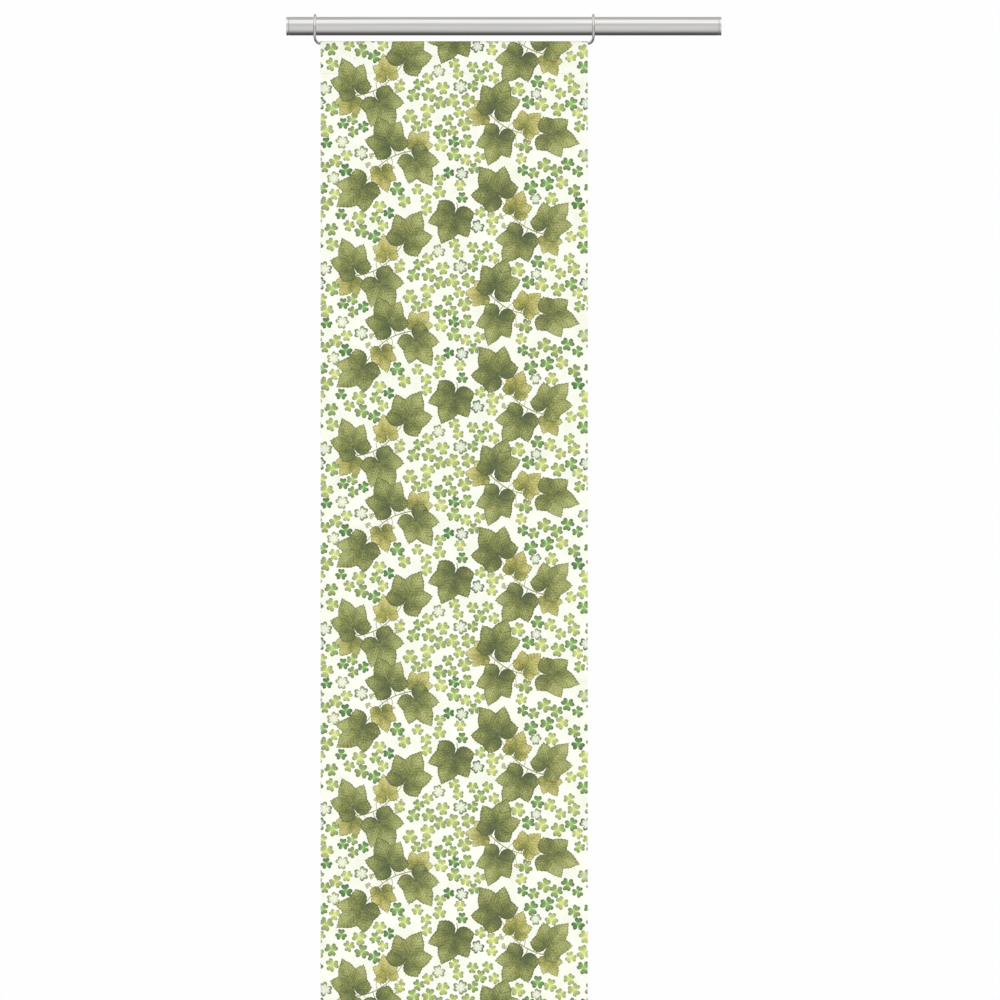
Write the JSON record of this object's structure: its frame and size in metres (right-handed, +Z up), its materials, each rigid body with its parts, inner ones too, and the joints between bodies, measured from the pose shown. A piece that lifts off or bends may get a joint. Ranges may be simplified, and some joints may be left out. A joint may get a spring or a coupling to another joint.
{
  "type": "panel curtain on a curtain rod",
  "caption": "Straight printed cotton panel hung on a hooked wire hanger from a round steel rod with flat aluminium end caps.",
  "frame": {"origin": "on the rod's axis, above the middle of the panel", "axes": "+Z up, +X along the rod to the right as seen from the room, +Y away from the room; the printed face looks along -Y"},
  "size_m": [0.7, 0.0487, 2.4439],
  "materials": {
    "rod": "satin, drawn along the tube",
    "rod_cap": "bare, faced on a lathe",
    "wire": "bright drawn wire",
    "cloth": "plain-woven cotton, printed on one side with green leaves on white"
  },
  "bodies": {
    "root": {"rod_tube": "rod", "rod_cap_left": "rod_cap", "rod_cap_right": "rod_cap", "wire_hanger": "wire", "panel_cloth": "cloth"}
  },
  "joints": []
}
